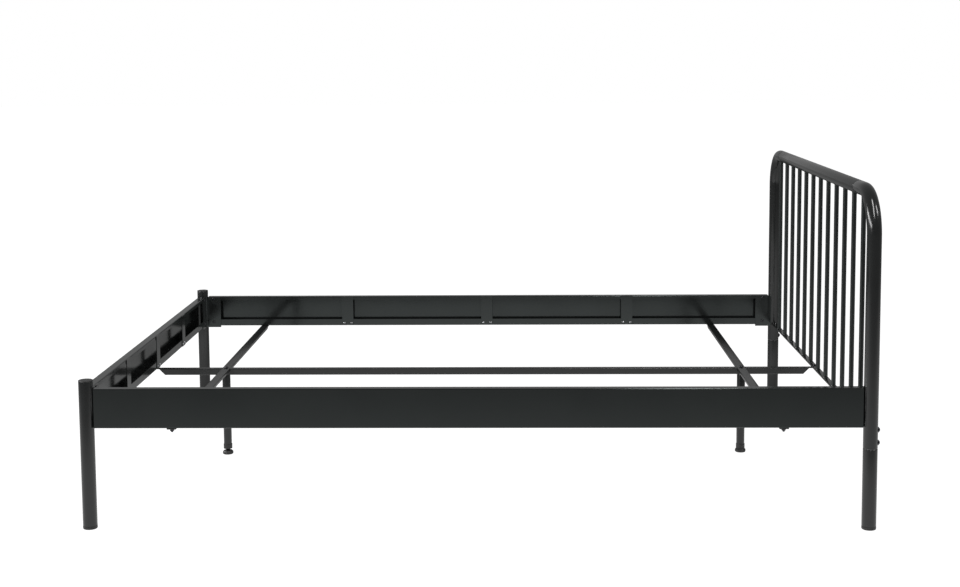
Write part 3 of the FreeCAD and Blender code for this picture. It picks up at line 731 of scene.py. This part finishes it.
@dataclass(frozen=True)
class SocketBolt:
    """A round-headed bolt with a hexagon socket, sized by the solid that it stands for."""

    head_height: float
    shank_share: float
    segments: int = 24
    dome_steps: int = 5
    rim_share: float = 0.25
    crown_share: float = 0.6
    socket_share: float = 0.42
    socket_depth_share: float = 0.6
    tip_share: float = 0.85
    tip_length_share: float = 0.3

    def outline(self, head: float, length: float) -> list[tuple[float, float]]:
        """Half of the bolt's section, its head's top at height 0.

        Args:
            head: the head's radius.
            length: the whole bolt's length.

        Returns:
            Radius and height of each point.
        """
        shank = head * self.shank_share
        crown = head * self.crown_share
        rim = self.head_height * (1 - self.rim_share)
        points = [
            (0.0, -length),
            (shank * self.tip_share, -length),
            (shank, -length + shank * self.tip_length_share),
            (shank, -self.head_height),
            (head, -self.head_height),
        ]
        for step in range(self.dome_steps + 1):
            angle = step / self.dome_steps * math.pi / 2
            points.append((crown + (head - crown) * math.cos(angle), rim * (math.sin(angle) - 1)))
        return points

    def draw(self, bm: BMesh, low: Vector, high: Vector, facing: Facing) -> None:
        """Draw one bolt in the box of the solid that it stands for.

        Args:
            bm: the mesh being drawn.
            low: the box's lowest corner.
            high: the box's highest corner.
            facing: where its head looks.
        """
        way = facing.vector
        size = high - low
        length = abs(size.dot(way))
        head = min(size[i] for i in range(3) if abs(way[i]) < 0.5) / 2
        top = (low + high) / 2 + way * length / 2
        place = Matrix.Translation(top) @ facing.turn()
        made = turned(bm, self.outline(head, length), self.segments, place)
        mouth = [edge for edge in bm.edges if edge.is_boundary and edge.verts[0] in set(made)]
        inner = draw_out(bm, mouth, Vector())
        apothem = head * self.socket_share * math.cos(math.pi / 6)
        home = place.inverted()
        for vert in along(inner):
            flat = home @ vert.co
            angle = math.atan2(flat.y, flat.x) % (math.pi / 3) - math.pi / 6
            reach = apothem / math.cos(angle)
            vert.co = place @ Vector((*(flat.xy.normalized() * reach), 0))
        floor = draw_out(bm, inner, -way * self.head_height * self.socket_depth_share)
        bmesh.ops.holes_fill(bm, edges=floor, sides=0)


@dataclass
class BoltGroup:
    """All bolts of one node."""

    node: str
    bolt: SocketBolt
    inward: bool = False
    facing: Facing = Facing.UP

    def facing_of(self, low: Vector, high: Vector) -> Facing:
        """Where one bolt's head looks: into the bed on the rails, else as the group says.

        Args:
            low: the bolt's lowest corner.
            high: the bolt's highest corner.

        Returns:
            The direction.
        """
        if not self.inward:
            return self.facing
        size = high - low
        if size.x > size.y:
            return Facing.HEADWARD
        return Facing.RIGHTWARD if low.y > 0 else Facing.LEFTWARD

    def build(self, shop: Workshop, name: str, slot: str) -> None:
        """Make the group.

        Args:
            shop: where it is finished.
            name: the piece's name.
            slot: the record's material slot.
        """
        bm = bmesh.new()
        for low, high in islands(self.node):
            self.bolt.draw(bm, low, high, self.facing_of(low, high))
        shop.piece(name, bm, slot, [self.node])


# ---------------------------------------------------------------- the headboard


@dataclass
class Headboard:
    """Bent tube on two lower legs, with a bottom bar under round spindles, and its welds."""

    shop: Workshop
    bend_radius: float = 0.112
    wall: float = 0.0015
    segments: int = 64
    bend_steps: int = 28
    bar_rounding: float = 0.0012
    bar_rounding_steps: int = 3
    weld: WeldBead = WeldBead()
    spindle_count: int = 12

    def corner_post(self, side: Side) -> None:
        """Draw an upright, bend it over and draw it on to its seam.

        Args:
            side: the side it stands on.
        """
        node = f"headboard_corner_post_{side.word}"
        low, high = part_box(node)
        radius = (high.x - low.x) / 2
        axis_x = (low.x + high.x) / 2
        axis_y = (high.y - radius) if side is Side.LEFT else (low.y + radius)
        seam = low.y if side is Side.LEFT else high.y
        crown = high.z - radius
        inwards = Vector((0, -side.value, 0))
        centre = Vector((axis_x, axis_y, crown - self.bend_radius)) + inwards * self.bend_radius
        bm = bmesh.new()
        circle = ring(bm, radius, Matrix.Translation((axis_x, axis_y, low.z)), self.segments)
        circle = draw_out(bm, circle, Vector((0, 0, centre.z - low.z)))
        turn = math.pi / 2 * side.value
        circle = bend(bm, circle, centre, Vector((1, 0, 0)), turn, self.bend_steps)
        draw_out(bm, circle, inwards * abs(centre.y - seam))
        round_off(bm, give_wall(bm, self.wall), TUBE_END.rounding, TUBE_END.steps)
        self.shop.piece(f"bent_post_{side.word}", bm, "headboard_paint", [node])

    def bottom_bar(self) -> None:
        """Draw the flat bar, its long edges rounded."""
        low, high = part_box("headboard_bottom_bar")
        bm = bmesh.new()
        block(bm, high - low, (low + high) / 2)
        soften(bm, self.bar_rounding, self.bar_rounding_steps)
        self.shop.piece("flat_bar", bm, "headboard_paint", ["headboard_bottom_bar"])

    def welds(self) -> None:
        """Lay the welds round the spindles' ends and the bar's ends."""
        bm = bmesh.new()
        tube_low, tube_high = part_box("headboard_top_tube")
        tube_radius = (tube_high.z - tube_low.z) / 2
        tube_axis = (tube_high.z + tube_low.z) / 2
        for number in range(1, self.spindle_count + 1):
            low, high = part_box(f"headboard_spindle_{number:02d}")
            spot = (low + high) / 2
            reach = (high.x - low.x) / 2
            self.weld.arc(bm, Vector((spot.x, spot.y, low.z)), reach, 0.0, FULL_TURN)
            before = set(bm.verts)
            self.weld.arc(bm, Vector((spot.x, spot.y, tube_axis)), reach, 0.0, FULL_TURN)
            for vert in bm.verts:
                if vert not in before:
                    vert.co.z -= math.sqrt(tube_radius**2 - (vert.co.x - spot.x) ** 2)
        bar_low, bar_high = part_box("headboard_bottom_bar")
        for side in Side:
            low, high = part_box(f"headboard_lower_leg_{side.word}")
            axis = (low + high) / 2
            reach = (high.x - low.x) / 2
            half = math.asin((bar_high.x - bar_low.x) / 2 / reach)
            for height in (bar_low.z, bar_high.z):
                start = -side.value * math.pi / 2 - half
                self.weld.arc(bm, Vector((axis.x, axis.y, height)), reach, start, 2 * half)
        self.shop.piece("headboard_welds", bm, "headboard_paint")

    def build(self) -> None:
        """Make the headboard's pieces and dress the nodes that stay."""
        for side in Side:
            self.corner_post(side)
            leg = Tube(f"headboard_lower_leg_{side.word}")
            leg.build(self.shop, f"lower_leg_{side.word}", "post_paint")
            self.shop.shelf.dress_node(f"glide_head_{side.word}", "black_plastic")
            for place in ("top", "leg"):
                self.shop.shelf.dress_node(f"headboard_{place}_sleeve_{side.word}", "sleeve_steel")
        Tube("headboard_top_tube").build(self.shop, "top_tube", "headboard_paint")
        for number in range(1, self.spindle_count + 1):
            self.shop.shelf.dress_node(f"headboard_spindle_{number:02d}", "spindle_paint")
        self.bottom_bar()
        self.welds()


# ---------------------------------------------------------------- foot posts, rails and brackets


@dataclass
class SideAndFoot:
    """The foot posts, the three rails with their stiffeners, and the brackets with their welds."""

    shop: Workshop
    weld: WeldBead = WeldBead()
    weld_inset: float = 0.004
    plane_off_axis: float = 0.015

    def weld_spots(self, end: End, side: Side) -> list[Vector]:
        """Where plates meet a post, at floor level: one plate at the head, two at the foot.

        Args:
            end: the post's end of the bed.
            side: the post's side.

        Returns:
            A spot for each plate.
        """
        post = f"foot_post_{side.word}" if end is End.FOOT else f"headboard_lower_leg_{side.word}"
        low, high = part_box(post)
        plane = self.plane_off_axis
        off = math.sqrt(((high.x - low.x) / 2) ** 2 - plane**2)
        plan = [(off, plane)] if end is End.HEAD else [(off, plane), (plane, off)]
        axis = (low + high) / 2
        return [Vector((axis.x - end.value * x, axis.y - side.value * y, 0)) for x, y in plan]

    def bracket_welds(self) -> None:
        """Lay a bead where each bracket plate meets its post."""
        bm = bmesh.new()
        for end, word in ((End.FOOT, "foot_corner"), (End.HEAD, "head_rail")):
            for side in Side:
                low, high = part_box(f"{word}_bracket_{side.word}")
                bottom = Vector((0, 0, low.z + self.weld_inset))
                top = Vector((0, 0, high.z - self.weld_inset))
                for spot in self.weld_spots(end, side):
                    self.weld.straight(bm, spot + bottom, spot + top)
        self.shop.piece("bracket_welds", bm, "plate_paint")

    def build(self) -> None:
        """Make the posts and welds, and dress the nodes that stay."""
        shelf = self.shop.shelf
        for side in Side:
            post = Tube(f"foot_post_{side.word}")
            post.build(self.shop, f"short_post_{side.word}", "post_paint")
            shelf.dress_node(f"foot_post_cap_{side.word}", "black_plastic")
            shelf.dress_node(f"glide_foot_{side.word}", "black_plastic")
            shelf.dress_node(f"foot_corner_bracket_{side.word}", "plate_paint")
            shelf.dress_node(f"head_rail_bracket_{side.word}", "plate_paint")
        for rail in ("side_rail_left", "side_rail_right", "foot_rail"):
            shelf.dress_node(rail, "rail_paint")
            shelf.dress_node(f"{rail}_stiffeners", "plate_paint")
        self.bracket_welds()


# ---------------------------------------------------------------- the centre support


@dataclass
class CentreSupport:
    """The beam, its two cross bars and support legs, and their levelling feet."""

    shop: Workshop
    thread_pitch: float = 0.00175
    thread_depth: float = 0.0008
    thread_segments: int = 20
    stud_radius: float = 0.006
    stud_in_disc: float = 0.001
    disc_height: float = 0.011
    disc_lower_edge: float = 0.0018
    disc_shoulder: float = 0.0036
    disc_rounding: float = 0.0003
    grip_flutes: int = 18
    steps_per_flute: int = 4
    flute_depth: float = 0.0006
    rim_tolerance: float = 0.0001
    bar_rounding: float = 0.0012
    bar_rounding_steps: int = 3
    flat_length: float = 0.023
    taper_length: float = 0.017
    flat_thickness: float = 0.004
    leg_wall: float = 0.0015
    leg_head: float = 0.006
    leg_rounding: float = 0.0006
    leg_segments: int = 48

    def support_leg(self, end: End) -> None:
        """Turn a tube whose top is closed by a thick head.

        Args:
            end: the end of the bed that it is near.
        """
        node = f"support_leg_{end.word}"
        low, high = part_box(node)
        radius, height = (high.x - low.x) / 2, high.z - low.z
        bore, ceiling = radius - self.leg_wall, height - self.leg_head
        inside = [(0.0, ceiling), (bore, ceiling), (bore, 0.0)]
        outside = [(radius, 0.0), (radius, height), (0.0, height)]
        axis = (low + high) / 2
        bm = bmesh.new()
        place = Matrix.Translation((axis.x, axis.y, low.z))
        turned(bm, inside + outside, self.leg_segments, place)
        soften(bm, self.leg_rounding)
        self.shop.piece(f"round_leg_{end.word}", bm, "beam_paint", [node])

    def cross_bar(self, end: End) -> None:
        """Draw a flat tube whose ends are pressed thin.

        Args:
            end: the end of the bed that it is near.
        """
        low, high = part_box(f"cross_bar_{end.word}")
        size = high - low
        full = size.y - 2 * (self.flat_length + self.taper_length)
        bm = bmesh.new()
        block(bm, (size.x, full, size.z), (low + high) / 2)
        for side in Side:
            reach = max(bm.faces, key=lambda face: side.value * face.calc_center_median().y)
            for length, thin in ((self.taper_length, True), (self.flat_length, False)):
                made = bmesh.ops.extrude_discrete_faces(bm, faces=[reach])["faces"]
                reach = made[0]
                bmesh.ops.translate(bm, vec=(0, side.value * length, 0), verts=reach.verts)
                if thin:
                    for vert in reach.verts:
                        vert.co.z = max(vert.co.z, high.z - self.flat_thickness)
        bmesh.ops.remove_doubles(bm, verts=bm.verts, dist=MERGE)
        soften(bm, self.bar_rounding, self.bar_rounding_steps)
        self.shop.piece(f"flat_cross_bar_{end.word}", bm, "beam_paint", [f"cross_bar_{end.word}"])

    def threaded_stud(
        self, bm: BMesh, axis: Vector, bottom: float, top: float, radius: float
    ) -> None:
        """Draw a stud with a raised thread.

        Args:
            bm: the mesh being drawn.
            axis: a point on the stud's axis.
            bottom: height of its lower end.
            top: height of its upper end.
            radius: outer radius of the thread.
        """
        turns = int((top - bottom) / self.thread_pitch) - 1
        steps = turns * self.thread_segments
        root = radius - self.thread_depth
        first = Vector((axis.x, axis.y, bottom))
        shape = ((root, 0.0), (radius, self.thread_pitch / 2), (root, self.thread_pitch))
        corners = [bm.verts.new(first + Vector((reach, 0, height))) for reach, height in shape]
        sides = [bm.edges.new(pair) for pair in zip(corners, corners[1:])]
        climb = (0, 0, self.thread_pitch / self.thread_segments)
        bmesh.ops.spin(
            bm, geom=corners + sides, cent=axis, axis=(0, 0, 1), dvec=climb,
            angle=FULL_TURN * turns, steps=steps, use_merge=False, use_duplicate=False,
        )
        bmesh.ops.remove_doubles(bm, verts=bm.verts, dist=MERGE)
        bmesh.ops.holes_fill(bm, edges=[edge for edge in bm.edges if edge.is_boundary], sides=0)

    def levelling_foot(self, end: End) -> None:
        """Draw a foot's fluted disc and its threaded stud.

        Args:
            end: the end of the bed that it is near.
        """
        node = f"levelling_foot_{end.word}"
        body = f"{end.name.lower()}_end_leveller"
        low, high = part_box(node)
        axis = (low + high) / 2
        radius = (high.x - low.x) / 2
        place = Matrix.Translation((axis.x, axis.y, low.z))
        height = self.disc_height
        bm = bmesh.new()
        outline = [
            (0.0, 0.0),
            (radius - self.disc_lower_edge, 0.0),
            (radius, self.disc_lower_edge),
            (radius, height - self.disc_shoulder),
            (radius - self.disc_shoulder, height),
            (0.0, height),
        ]
        made = turned(bm, outline, self.grip_flutes * self.steps_per_flute, place)
        for vert in made:
            flat = vert.co - axis
            reach = flat.xy.length
            if reach > radius - self.rim_tolerance:
                wave = (1 - math.cos(math.atan2(flat.y, flat.x) * self.grip_flutes)) / 2
                factor = 1 - self.flute_depth * wave / reach
                vert.co.x = axis.x + flat.x * factor
                vert.co.y = axis.y + flat.y * factor
        soften(bm, self.disc_rounding, 1)
        self.shop.piece(f"foot_disc_{end.word}", bm, "black_plastic", [node], body)
        stud = bmesh.new()
        bottom = low.z + height - self.stud_in_disc
        self.threaded_stud(stud, axis, bottom, high.z, self.stud_radius)
        self.shop.piece(f"foot_stud_{end.word}", stud, "black_zinc", (), body)

    def build(self) -> None:
        """Make the bars and feet, and dress the nodes that stay."""
        self.shop.shelf.dress_node("centre_beam", "beam_paint")
        for end in End:
            self.cross_bar(end)
            self.support_leg(end)
            self.shop.shelf.dress_node(f"support_leg_plug_{end.word}", "black_plastic")
            self.levelling_foot(end)


# ---------------------------------------------------------------- fasteners


@dataclass
class Fasteners:
    """Every bolt, nut, screw and washer."""

    shop: Workshop
    frame_bolt: SocketBolt = SocketBolt(head_height=0.0033, shank_share=0.571)
    leg_bolt: SocketBolt = SocketBolt(head_height=0.0044, shank_share=0.615)
    plate_screw: SocketBolt = SocketBolt(head_height=0.0022, shank_share=0.533, dome_steps=4)

    def build(self) -> None:
        """Make the bolts and screws, and dress the nuts and washers."""
        groups = (
            BoltGroup("rail_bolts", self.frame_bolt, inward=True),
            BoltGroup("cross_bar_bolts", self.frame_bolt),
            BoltGroup("beam_end_screws", self.frame_bolt),
            BoltGroup("support_leg_bolts", self.leg_bolt),
            BoltGroup("headboard_post_bolts", self.frame_bolt, facing=Facing.HEADWARD),
            BoltGroup("stiffener_screws", self.plate_screw, inward=True),
        )
        for group in groups:
            # painted highlight in part: only the stiffener screws get the light zinc, so that
            # their heads show as light dots in place of glints
            slot = "bright_zinc" if group.node == "stiffener_screws" else "black_zinc"
            group.build(self.shop, f"socket_{group.node}", slot)
        self.shop.shelf.dress_node("frame_nuts", "black_zinc")
        self.shop.shelf.dress_node("headboard_post_washers", "black_zinc")


# ---------------------------------------------------------------- the studio


@dataclass(frozen=True)
class SoftBox:
    """One soft lamp."""

    name: str
    spot: tuple[float, float, float]
    target: tuple[float, float, float]
    size: tuple[float, float]
    power: float


@dataclass
class Studio:
    """The floor, the soft light and the camera, its lens and sensor in millimetres."""

    camera_spot: tuple[float, float, float] = (0.1074, -4.4841, 1.2506)
    yaw: float = -1.423
    pitch: float = 5.6939
    roll: float = -0.4077
    lens: float = 55.05
    sensor: float = 36.0
    shift: float = -0.1
    floor_size: float = 60.0
    floor_tones: tuple[float, float] = (0.1, 0.12)
    floor_mottle_per_metre: float = 3.0
    floor_roughness: float = 0.9
    floor_specular: float = 0.1
    room_glow_front: float = 0.12
    room_glow_back: float = 0.32
    # painted pool of light: the floor's emission strength everywhere, and what the pool under the
    # bed adds to it
    floor_glow: float = 0.17
    pool_glow: float = 0.78
    pool_middle: tuple[float, float, float] = (0.0, -0.6, 0.0)
    pool_reach: tuple[float, float, float] = (6.0, 2.2, 1.0)
    lamps: tuple[SoftBox, ...] = (
        SoftBox("foot_side_box", (-3.0, -1.1, 1.95), (1.02, -0.73, 0.82), (5.6, 0.55), 150.0),
        SoftBox("front_strip", (0.93, -2.13, 3.5), (1.02, -0.73, 0.84), (0.42, 2.4), 60.0),
        SoftBox("head_side_box", (3.25, -1.54, 2.96), (1.02, -0.73, 0.82), (0.6, 1.2), 30.0),
    )

    def camera(self) -> None:
        """Set the camera up and make it the scene's."""
        data = bpy.data.cameras.new("camera")
        data.sensor_fit = "HORIZONTAL"
        data.sensor_width = self.sensor
        data.lens = self.lens
        data.shift_y = self.shift
        yaw, pitch, roll = (math.radians(angle) for angle in (self.yaw, self.pitch, self.roll))
        forward = Vector((
            math.sin(yaw) * math.cos(pitch), math.cos(yaw) * math.cos(pitch), -math.sin(pitch),
        ))
        right = Vector((math.cos(yaw), -math.sin(yaw), 0))
        up = right.cross(forward)
        across = right * math.cos(roll) + up * math.sin(roll)
        upright = up * math.cos(roll) - right * math.sin(roll)
        turn = Matrix((across, upright, -forward)).transposed().to_4x4()
        thing = in_scene("camera", data)
        thing.matrix_world = Matrix.Translation(self.camera_spot) @ turn
        bpy.context.scene.camera = thing

    def white_to_camera(
        self, tree: bpy.types.NodeTree, glow: bpy.types.NodeSocket
    ) -> bpy.types.NodeSocket:
        """Show white where it is seen straight on, and a softer glow to everything it lights.

        Args:
            tree: the node tree that the nodes go in.
            glow: strength of the light that it gives.

        Returns:
            The strength to use.
        """
        path = tree.nodes.new("ShaderNodeLightPath")
        mix = tree.nodes.new("ShaderNodeMapRange")
        mix.inputs["To Max"].default_value = 1.0
        tree.links.new(glow, mix.inputs["To Min"])
        tree.links.new(path.outputs["Is Camera Ray"], mix.inputs["Value"])
        return mix.outputs["Result"]

    def room_glow(self, tree: bpy.types.NodeTree) -> bpy.types.NodeSocket:
        """Light the room softly, with more light behind the bed than before it.

        Args:
            tree: the world's node tree.

        Returns:
            The room's strength in each direction.
        """
        way = tree.nodes.new("ShaderNodeTexCoord").outputs["Generated"]
        parts = tree.nodes.new("ShaderNodeSeparateXYZ")
        tree.links.new(way, parts.inputs["Vector"])
        ramp = tree.nodes.new("ShaderNodeMapRange")
        ramp.inputs["From Min"].default_value = -1.0
        ramp.inputs["To Min"].default_value = self.room_glow_front
        ramp.inputs["To Max"].default_value = self.room_glow_back
        tree.links.new(parts.outputs["Y"], ramp.inputs["Value"])
        return ramp.outputs["Result"]

    def pool_glow_over_floor(self, sheet: NodeSheet) -> bpy.types.NodeSocket:
        """Paint a soft pool of light on the floor under the bed: its own emission glows there and
        lights the frame from below, though the floor is no lamp.

        Args:
            sheet: the floor's node tree.

        Returns:
            The floor's strength from place to place.
        """
        mapping = sheet.tree.nodes.new("ShaderNodeMapping")
        mapping.vector_type = "TEXTURE"
        mapping.inputs["Location"].default_value = self.pool_middle
        mapping.inputs["Scale"].default_value = self.pool_reach
        sheet.link(sheet.place, mapping.inputs["Vector"])
        gradient = sheet.tree.nodes.new("ShaderNodeTexGradient")
        gradient.gradient_type = "SPHERICAL"
        sheet.link(mapping.outputs["Vector"], gradient.inputs["Vector"])
        ramp = sheet.tree.nodes.new("ShaderNodeMapRange")
        ramp.interpolation_type = "SMOOTHSTEP"
        ramp.inputs["To Min"].default_value = self.floor_glow
        ramp.inputs["To Max"].default_value = self.floor_glow + self.pool_glow
        sheet.link(gradient.outputs["Fac"], ramp.inputs["Value"])
        return ramp.outputs["Result"]

    def floor(self) -> None:
        """Lay the pale floor under the glides; it glows by its own emission, plain white to the
        camera and as a painted pool of light to the frame.
        """
        bm = bmesh.new()
        bmesh.ops.create_grid(bm, x_segments=1, y_segments=1, size=self.floor_size / 2)
        mesh = bpy.data.meshes.new("floor")
        bm.to_mesh(mesh)
        bm.free()
        sheet = NodeSheet("pale_floor")
        mottle = sheet.noise(self.floor_mottle_per_metre, detail=3)
        sheet.tint(mottle, *((tone,) * 3 for tone in self.floor_tones))
        sheet.shader.inputs["Roughness"].default_value = self.floor_roughness
        sheet.shader.inputs["Specular IOR Level"].default_value = self.floor_specular
        sheet.shader.inputs["Emission Color"].default_value = (1, 1, 1, 1)
        # painted light: the floor glows by its own emission, plain white to the camera and, to
        # everything it lights, as a pool of light under the bed
        strength = self.white_to_camera(sheet.tree, self.pool_glow_over_floor(sheet))
        sheet.link(strength, sheet.shader.inputs["Emission Strength"])
        mesh.materials.append(sheet.material)
        thing = in_scene("floor", mesh)

    def light(self) -> None:
        """Hang the soft boxes and light the room."""
        for lamp in self.lamps:
            data = bpy.data.lights.new(lamp.name, "AREA")
            data.shape = "RECTANGLE"
            data.size, data.size_y = lamp.size
            data.energy = lamp.power
            spot, target = Vector(lamp.spot), Vector(lamp.target)
            thing = in_scene(lamp.name, data)
            thing.matrix_world = Matrix.Translation(spot) @ aimed(target - spot, "-Z")
        world = bpy.data.worlds.new("room")
        world.use_nodes = True
        background = world.node_tree.nodes["Background"]
        background.inputs["Color"].default_value = (1, 1, 1, 1)
        strength = self.white_to_camera(world.node_tree, self.room_glow(world.node_tree))
        world.node_tree.links.new(strength, background.inputs["Strength"])
        bpy.context.scene.world = world
        bpy.context.scene.view_settings.view_transform = "Standard"

    def build(self) -> None:
        """Set up the whole studio."""
        self.camera()
        self.floor()
        self.light()
        LOG.info("studio ready with %d lamps", len(self.lamps))


def main() -> None:
    """Build the bed frame piece by piece, then the studio."""
    logging.basicConfig(level=logging.INFO, format="%(name)s: %(message)s")
    shop = Workshop(FinishShelf())
    Studio().build()
    Headboard(shop).build()
    SideAndFoot(shop).build()
    CentreSupport(shop).build()
    Fasteners(shop).build()


if __name__ == "__main__":
    main()
